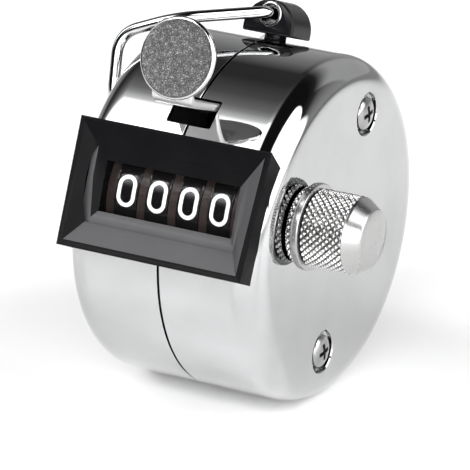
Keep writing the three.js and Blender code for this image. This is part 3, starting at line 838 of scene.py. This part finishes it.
def knob_mesh():
    sides = 272
    stations = [(KNOB["start"], 0, 0), (KNOB["start"], KNOB_RADIUS - 0.2, 0)]
    stations += [(x, KNOB_RADIUS, 1) for x in np.linspace(KNOB["start"] + 0.12, KNOB["collar"] - 0.05, 10)]
    waist = KNOB_RADIUS - 0.6
    stations += [(KNOB["collar"], waist, 0), (KNOB["barrel"], waist, 0)]
    stations += [(KNOB["barrel"], KNOB_RADIUS - 0.25, 0)]
    stations += [(x, KNOB_RADIUS, 1) for x in np.linspace(KNOB["barrel"] + 0.06, KNOB["chamfer"] - 0.5, 70)]
    stations += [(CONE_START, KNOB_RADIUS - 0.14, 0), (CONE_START + 0.1, KNOB_RADIUS - 0.06, 0)]
    cone = zip(
        np.linspace(CONE_START + 0.3, KNOB["end"] - 0.25, 12),
        np.linspace(KNOB_RADIUS - 0.08, KNOB_FACE + 0.12, 12),
    )
    stations += [(x, radius, 0) for x, radius in cone]
    stations += [(KNOB["end"] - 0.08, KNOB_FACE, 0), (KNOB["end"], KNOB_FACE - 0.14, 0)]
    stations += [(KNOB["end"], 2.2, 0), (KNOB["end"], 0, 0)]
    vertices = []
    rows = []
    for x, radius, cut in stations:
        row = []
        for i in range(1 if radius == 0 else sides):
            turn = 2 * math.pi * i / sides
            reach = radius - (knurl(x, turn) if cut else 0)
            row.append(len(vertices))
            vertices.append((x, WHEEL_Y + reach * math.cos(turn), WHEEL_Z + reach * math.sin(turn)))
        rows.append(row)
    return mesh_of(vertices, joined_rows(zip(rows, rows[1:]), sides))


def knurl_finish():
    """Bright crests and grooves darkened as painted shade, told apart by the distance from the shaft's
    axis.
    """
    finish = Finish("knurled_nickel", Metallic=1.0)
    axis = TO_ROW @ Vector((0, WHEEL_Y, WHEEL_Z))
    place = finish.parts(finish.place())
    y = place[1] - axis.y
    z = place[2] - axis.z
    radius = (y * y + z * z).sum("SQRT") * 1000
    # Painted shade: the grooves get a dark metal colour and the crests a bright one.
    crest = radius.rise(KNOB_RADIUS - 0.3, KNOB_RADIUS - 0.06)
    grime = finish.noise(0.3, 2.0)
    finish.set(
        Base_Color=finish.mix(crest, (0.09, 0.09, 0.088), (0.62, 0.62, 0.615)),
        Roughness=grime * 0.12 + 0.12,
    )
    return finish.material


KNURLED = knurl_finish()
knob = set_in(
    "knurled_knob", knob_mesh(), [TURNED_NICKEL, KNURLED], "reset", ["reset_knob"], smooth=38
)
for face in knob.data.polygons:
    middle = FROM_ROW @ face.center
    if middle.x < CONE_START:
        face.material_index = 1

# %% [markdown]
# A smooth band sits behind the barrel, with a ring of tiny raised dots. Dots that repeat
# round a circle are a job for Geometry Nodes: one circle of points, one small dome on each.

# %% Knob band
BAND_RADIUS = 5.4


def band_mesh():
    start, end = KNOB["band"], KNOB["barrel"] - 0.15
    inner = KNOB_RADIUS - 0.3
    profile = [
        (start, inner), *arc(start + 0.15, BAND_RADIUS - 0.15, 0.15, 180, 90, 5),
        *arc(end - 0.15, BAND_RADIUS - 0.15, 0.15, 90, 0, 5), (end, inner),
    ]
    return turned(profile, 180, (WHEEL_Y, WHEEL_Z), ring=True)


set_in("knob_rim", band_mesh(), TURNED_NICKEL, "reset", ["knob_band"], smooth=40)


# %% Ring of dots, as a node tree
def node_tree(name, inputs):
    """An empty Geometry Nodes tree with named number inputs and a geometry output."""
    tree = bpy.data.node_groups.new(name, "GeometryNodeTree")
    tree.interface.new_socket("Geometry", in_out="INPUT", socket_type="NodeSocketGeometry")
    for label, kind, value in inputs:
        socket = tree.interface.new_socket(label, in_out="INPUT", socket_type=kind)
        if value is not None:
            socket.default_value = value
    tree.interface.new_socket("Geometry", in_out="OUTPUT", socket_type="NodeSocketGeometry")
    return tree, tree.nodes.new("NodeGroupInput"), tree.nodes.new("NodeGroupOutput")


def end_tree(tree, shape, given, result):
    """Makes the instances of a tree real and gives them its finish."""
    real = tree.nodes.new("GeometryNodeRealizeInstances")
    coloured = tree.nodes.new("GeometryNodeSetMaterial")
    tree.links.new(shape, real.inputs["Geometry"])
    tree.links.new(real.outputs["Geometry"], coloured.inputs["Geometry"])
    tree.links.new(given.outputs["Finish"], coloured.inputs["Material"])
    tree.links.new(coloured.outputs["Geometry"], result.inputs["Geometry"])


def grown(tree, start, values):
    """The plain mesh that a tree makes from a starting mesh or curve, with its inputs set by name."""
    holder = bpy.data.objects.new("grown", start)
    bpy.context.scene.collection.objects.link(holder)
    modifier = holder.modifiers.new("grown", "NODES")
    modifier.node_group = tree
    for item in tree.interface.items_tree:
        if item.item_type == "SOCKET" and item.in_out == "INPUT" and item.name in values:
            modifier[item.identifier] = values[item.name]
    graph = bpy.context.evaluated_depsgraph_get()
    mesh = bpy.data.meshes.new_from_object(holder.evaluated_get(graph))
    holder.modifiers.remove(modifier)
    bpy.data.objects.remove(holder)
    return mesh


def dot_ring_tree():
    tree, given, result = node_tree("ring_of_dots", [
        ("Dots", "NodeSocketInt", 40), ("Ring Radius", "NodeSocketFloat", 5.4),
        ("Dot Radius", "NodeSocketFloat", 0.1), ("Finish", "NodeSocketMaterial", None),
    ])
    circle = tree.nodes.new("GeometryNodeMeshCircle")
    dome = tree.nodes.new("GeometryNodeMeshIcoSphere")
    dome.inputs["Subdivisions"].default_value = 2
    instances = tree.nodes.new("GeometryNodeInstanceOnPoints")
    links = tree.links
    links.new(given.outputs["Dots"], circle.inputs["Vertices"])
    links.new(given.outputs["Ring Radius"], circle.inputs["Radius"])
    links.new(given.outputs["Dot Radius"], dome.inputs["Radius"])
    links.new(circle.outputs["Mesh"], instances.inputs["Points"])
    links.new(dome.outputs["Mesh"], instances.inputs["Instance"])
    end_tree(tree, instances.outputs["Instances"], given, result)
    return tree


dots = grown(dot_ring_tree(), bpy.data.meshes.new("dots"), {
    "Dots": 44, "Ring Radius": BAND_RADIUS - 0.02, "Dot Radius": 0.11, "Finish": SPRING,
})
dots.transform(Matrix.Translation((15.42, WHEEL_Y, WHEEL_Z)) @ Matrix.Rotation(math.pi / 2, 4, "Y"))
set_in("knob_rim_dots", dots, SPRING, "reset", smooth=60)

# %% [markdown]
# ## The thumb lever
#
# A strip comes out of the slot, bends up and carries a round pad. The strip, its hub and the
# arm that works the pawl are one pressing. The pad is turned, with a polished rim round a
# blasted face that lies slightly lower.

# %% Lever strip
PIVOT = (-3.2, 12.5)
STRIP_HALF = 2.75
STRIP_LOW = 12.1
STRIP_TOP = 13.1
STRIP_FRONT = -25.6
PAD_RADIUS = 5.0
PAD_Z = 17.7
PAD_FACE_RADIUS = 4.72


def lever_pressing():
    strip_front = STRIP_FRONT + 0.3
    strip_back = STRIP_FRONT + 1.0
    profile = [
        (PIVOT[0], STRIP_TOP), (PIVOT[0], STRIP_LOW),
        *arc(strip_front + 1.6, STRIP_LOW + 1.6, 1.6, 270, 180, 12),
        (strip_front, PAD_Z), (strip_back, PAD_Z),
        *arc(strip_back + 0.9, STRIP_TOP + 0.9, 0.9, 180, 270, 8),
    ]
    strip = soften(plate(profile, -STRIP_HALF, STRIP_HALF), 0.18, 3, 50)
    hub = rod(-STRIP_HALF, 10.9, 1.9, *PIVOT)
    arm_low = (-4, 6)
    down = math.degrees(math.atan2(arm_low[1] - PIVOT[1], arm_low[0] - PIVOT[0]))
    arm = plate([
        *arc(*arm_low, 1.3, down - 90, down + 90, 16), *arc(*PIVOT, 2.2, down + 90, down + 270, 20),
    ], 10.3, 10.9)
    joined = carve(strip, [hub, arm], "UNION")
    return carve(joined, [rod(-30, 30, 1.2, *PIVOT, 32), rod(9, 12, 0.8, *arm_low, 24)])


set_in("lever_pressing", lever_pressing(), SATIN, "lever", ["thumb_lever"], smooth=35)

# %% Thumb pad
def thumb_pad():
    face = STRIP_FRONT + 0.1
    profile = [
        (face, 0), (face, 2.2), (face, 4.3), (face - 0.02, 4.5), (face - 0.09, 4.6),
        *arc(face + 0.28, PAD_RADIUS - 0.3, 0.38, 195, 95, 9)[1:],
        (STRIP_FRONT + 0.85, PAD_RADIUS - 0.03), (STRIP_FRONT + 1, PAD_RADIUS - 0.2), (STRIP_FRONT + 1, 0),
    ]
    return turned(profile, 160, (0, PAD_Z), "Y")


pad = set_in("thumb_pad", thumb_pad(), [NICKEL, PAD_FACE, SATIN], "lever", smooth=40)
pad_facing = (TO_ROW.to_3x3() @ Vector((0, -1, 0))).normalized()
for face in pad.data.polygons:
    middle = FROM_ROW @ face.center
    near = math.hypot(middle.x, middle.z - PAD_Z) < PAD_FACE_RADIUS
    if near and face.normal.dot(pad_facing) > 0.5:
        face.material_index = 1
    elif middle.y > STRIP_FRONT + 0.97:
        face.material_index = 2

# %% [markdown]
# ## The ring's lug and the finger ring
#
# The lug is a short black post with a rounded top and a polished eye. The ring is bent from one
# wire, so it is a path with a round section. Geometry Nodes sweep the section along the path,
# and the same tree later winds the return spring.

# %% Lug
LUG_X = -0.2
EYE_Z = 25.1


def lug_mesh():
    outline = [(LUG_X + 3.55, 22.6), *arc(LUG_X, 23.4, 3.55, 0, 180, 40), (LUG_X - 3.55, 22.6)]
    eye = turned([(-4, 0), (-4, 1.3), (4, 1.3), (4, 0)], 64, (LUG_X, EYE_Z), "Y")
    body = soften(carve(plate(outline, -2.7, 2.7, "Y"), [eye]), 0.3, 4, 40)
    neck = turned([(21.1, 0), (21.1, 1.4), (22.9, 1.4), (22.9, 0)], 48, (LUG_X, 0), "Z")
    return carve(body, [neck], "UNION")


set_in("lug_body", lug_mesh(), LUG_BLACK, "case", ["ring_lug"], smooth=35)
eyelet = turned([
    (-2.62, 1.2), (-2.78, 1.26), (-2.8, 1.42), (-2.74, 1.58), (-2.62, 1.6), (-2.4, 1.31),
    (2.4, 1.31), (2.62, 1.6), (2.74, 1.58), (2.8, 1.42), (2.78, 1.26), (2.62, 1.2),
], 96, (LUG_X, EYE_Z), "Y", ring=True)
set_in("lug_eyelet", eyelet, SCREW_NICKEL, "case", smooth=40)

# %% Wire along a path, as a node tree
def wire_tree():
    tree, given, result = node_tree("wire_along_path", [
        ("Wire Radius", "NodeSocketFloat", 0.75), ("Stations", "NodeSocketInt", 200),
        ("Sides", "NodeSocketInt", 24), ("Finish", "NodeSocketMaterial", None),
    ])
    resample = tree.nodes.new("GeometryNodeResampleCurve")
    section = tree.nodes.new("GeometryNodeCurvePrimitiveCircle")
    sweep = tree.nodes.new("GeometryNodeCurveToMesh")
    sweep.inputs["Fill Caps"].default_value = True
    links = tree.links
    links.new(given.outputs["Geometry"], resample.inputs["Curve"])
    links.new(given.outputs["Stations"], resample.inputs["Count"])
    links.new(given.outputs["Wire Radius"], section.inputs["Radius"])
    links.new(given.outputs["Sides"], section.inputs["Resolution"])
    links.new(resample.outputs["Curve"], sweep.inputs["Curve"])
    links.new(section.outputs["Curve"], sweep.inputs["Profile Curve"])
    end_tree(tree, sweep.outputs["Mesh"], given, result)
    return tree


WIRE = wire_tree()


def wire_mesh(points, radius, stations, sides, finish):
    """A round wire through points. The points are close together, so straight spans will do."""
    curve = bpy.data.curves.new("path", "CURVE")
    curve.dimensions = "3D"
    line = curve.splines.new("POLY")
    line.points.add(len(points) - 1)
    for spot, point in zip(line.points, points):
        spot.co = (*point, 1)
    mesh = grown(WIRE, curve, {
        "Wire Radius": radius, "Stations": stations, "Sides": sides, "Finish": finish,
    })
    return welded(mesh, 1e-4)


# %% Finger ring
RING = {"slope": 22.8, "skew": 3.4, "half": 12, "elbow": -8.3, "flank": -15.75, "foot": -14.85, "low": 9.5}


def rounded_path(corners, reach, steps):
    """A path through corners, each replaced by a curve that starts `reach` before it."""
    points = [corners[0]]
    for before, corner, after in zip(corners, corners[1:], corners[2:]):
        start = corner + (before - corner).normalized() * reach
        end = corner + (after - corner).normalized() * reach
        for t in np.linspace(0, 1, steps + 1):
            points.append(start * (1 - t) ** 2 + corner * (2 * t * (1 - t)) + end * t ** 2)
    return [*points, corners[-1]]


def half_ring(side):
    def dip(y):
        return y * math.tan(math.radians(RING["skew"]))

    def on_arm(x, y):
        fall = (LUG_X - x) * math.tan(math.radians(RING["slope"]))
        return Vector((x, y, EYE_Z - fall - dip(y)))

    y = side * RING["half"]
    throat = rounded_path([
        on_arm(LUG_X, side * 0.15), on_arm(LUG_X, side * 3.6), on_arm(RING["elbow"], y),
    ], 1.1, 12)
    outer = rounded_path([
        throat[-2], on_arm(RING["elbow"], y), on_arm(RING["flank"], y),
        Vector((RING["foot"], y, RING["low"] - dip(y))), Vector((RING["foot"], 0, RING["low"])),
    ], 2.8, 16)
    return [*throat[:-1], *outer[1:]]


ring_path = [*half_ring(-1), *half_ring(1)[:-1][::-1]]
ring = wire_mesh(ring_path, 0.75, 420, 28, RING_CHROME)
set_in("finger_loop", ring, RING_CHROME, "ring", ["finger_ring"], smooth=60)

# %% [markdown]
# ## Inside the drum
#
# The lever's return spring is wound from wire with the same tree as the ring. The shafts, pins,
# pawls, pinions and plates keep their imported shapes, with the finishes of drawn steel, spring
# steel, brass and nylon.

# %% Return spring
def spring_path():
    coil, turns, per_turn, start = 2.6, 3, 48, 3.6
    points = [Vector((start, PIVOT[0] + 5.8, PIVOT[1] + 0.5))]
    for i in range(turns * per_turn + 1):
        angle = -math.pi / 2 - 2 * math.pi * i / per_turn
        x = start + 0.85 * i / per_turn
        points.append(Vector((x, PIVOT[0] + coil * math.cos(angle), PIVOT[1] + coil * math.sin(angle))))
    for x, y, z in ((6.1, -4, -1.4), (4.6, -5.2, -1.05), (1.4, -5.4, -1)):
        points.append(Vector((x, PIVOT[0] + y, PIVOT[1] + z)))
    return points


return_spring = wire_mesh(spring_path(), 0.28, 360, 12, SPRING)
set_in("return_spring", return_spring, SPRING, "case", ["lever_return_spring"], smooth=60)

# %% Shaft bush
bush = turned([
    (12.3, 1.75), (12.3, 3.6), (12.6, 3.6), (12.6, 2.6),
    (13.62, 2.6), (13.75, 2.45), (13.75, 1.9), (13.6, 1.75),
], 96, (WHEEL_Y, WHEEL_Z), ring=True)
set_in("brass_bush", bush, BRASS, "case", ["shaft_bush"], smooth=40)

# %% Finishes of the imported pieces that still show
BY_SLOT = {
    "chrome": CHROME, "nickel": NICKEL, "bezel_plastic": BEZEL_BLACK, "clear_lens": CLEAR,
    "lug_black": LUG_BLACK, "wheel_plastic": WHEEL_BLACK, "mask_plastic": MASK_BROWN,
    "nylon": NYLON, "steel": STEEL, "spring_steel": SPRING, "brass": BRASS,
}
for entry in frame["record"]["subparts"]:
    node = frame["nodes"][entry["node"]]
    node.data.materials.clear()
    # The washer under the lug is given the lug's black finish.
    finish = LUG_BLACK if entry["node"] == "lug_washer" else BY_SLOT[entry["material_slot"]]
    node.data.materials.append(finish)

# %% [markdown]
# ## Floor, light and camera
#
# The counter stands on a pale floor in a white room. What gives chrome its shape is what is not
# white: a studio hangs dark cards where a reflection needs an edge. The world's colour depends
# on the direction alone. It is white in front and fades to black just past the zenith. One dark
# card hangs low at the front left and another overhead to the right, a tall window stands far
# right, and the back wall is grey. A narrow lamp at the front left puts the sheen on the number
# wheels. The floor's colour is painted darker far from the counter, a painted pool of light round
# it, and that gives the drum's rounded edges a soft dark rim. The sky's greys were tuned render by
# render, so that the drum's top, front and edges each have a tone of their own.

# %% Floor
FLOOR_HALF = 3.0
floor_mesh = bpy.data.meshes.new("floor")
floor_corners = [(-FLOOR_HALF, -FLOOR_HALF, 0), (FLOOR_HALF, -FLOOR_HALF, 0)]
floor_corners += [(FLOOR_HALF, FLOOR_HALF, 0), (-FLOOR_HALF, FLOOR_HALF, 0)]
floor_mesh.from_pydata(floor_corners, [], [(0, 1, 2, 3)])
floor = bpy.data.objects.new("floor", floor_mesh)
bpy.context.scene.collection.objects.link(floor)
floor_finish = Finish("pale_floor", Specular_IOR_Level=0.12)
floor_x, floor_y = floor_finish.parts(floor_finish.place())[:2]
# Painted pool of light: the floor's colour is near white round the counter and darkens to grey farther out.
far = (floor_x * floor_x + floor_y * floor_y).sum("SQRT").rise(0.13, 0.42)
floor_colour = floor_finish.mix(far, (0.97, 0.97, 0.97), (0.22, 0.22, 0.22))
floor_finish.set(Base_Color=floor_colour, Roughness=0.3)
floor_mesh.materials.append(floor_finish.material)


# %% Studio dome
class Dome(Finish):
    """The world's node tree, written with the same sums as a finish."""

    def __init__(self):
        world = bpy.data.worlds.new("studio")
        world.use_nodes = True
        bpy.context.scene.world = world
        self.tree = world.node_tree
        self.shader = self.tree.nodes["Background"]


dome = Dome()
direction = dome.node("ShaderNodeTexCoord", output="Generated").socket
dx, dy, dz = dome.parts(direction)
WHITE = 4.2
LAMP = 24
WALL = 0.13
DARKEST = 0.01
SKY = [
    (82, 1), (87, 0.26), (92, 0.11), (96, 0.06), (106, 0.025), (122, 0.008), (136, 0.008),
    (150, 0.055), (165, 0.085), (180, 0.1),
]

# `over` is the angle in degrees from the front horizon, over the zenith, to the back horizon.
over = dz.sum("ABSOLUTE").sum("ARCTAN2", dy * -1) * (180 / math.pi)
sky_stops = [(angle / 180, (grey, grey, grey)) for angle, grey in SKY]
sky = dome.node("ShaderNodeValToRGB", {"stops": sky_stops}, {0: over * (1 / 180)})
overhead_card = dx.rise(-0.28, -0.15) * over.rise(46, 52) * (1 - over.rise(120, 140))
front_card = (1 - over.rise(62, 66)) * (1 - dx.rise(-0.25, -0.08))
window_edge = over.rise(105, 132) * 0.34 + 0.44
right_window = (dx - window_edge).rise(0, 0.06) * over.rise(66, 73)
back_wall = over.rise(128, 150) * dx.rise(-0.4, -0.1) * (1 - dx.rise(0.48, 0.6)) * WALL
lamp_rise = over.rise(22, 48)
lamp_width = (1 - dx.rise(-0.38, -0.3)) * dx.rise(-0.62, -0.54)
lamp = lamp_rise * lamp_rise * (1 - over.rise(48, 50)) * lamp_width
room = (sky * (1 - overhead_card.most(front_card))).most(right_window).most(back_wall)
level = room * WHITE + lamp * LAMP + DARKEST
dome.set(Strength=1.0)
grey = dome.node("ShaderNodeCombineXYZ", None, {0: level, 1: level, 2: level})
dome.feed(dome.shader.inputs["Color"], grey)

# %% Camera
AZIMUTH = math.radians(28.64)
ELEVATION = math.radians(22.43)
DISTANCE = 0.5
FOCAL_LENGTH = 304.74
SHIFT = (-0.01972, -0.04777)
towards_camera = Vector((
    math.sin(AZIMUTH) * math.cos(ELEVATION),
    -math.cos(AZIMUTH) * math.cos(ELEVATION),
    math.sin(ELEVATION),
))
lens = bpy.data.cameras.new("camera")
lens.lens = FOCAL_LENGTH
lens.sensor_width = 36
lens.shift_x, lens.shift_y = SHIFT
lens.clip_end = 20
camera = bpy.data.objects.new("camera", lens)
camera.location = drum_centre + towards_camera * DISTANCE
camera.rotation_euler = towards_camera.to_track_quat("Z", "Y").to_euler()
bpy.context.scene.collection.objects.link(camera)
bpy.context.scene.camera = camera
bpy.context.scene.view_settings.view_transform = "Standard"
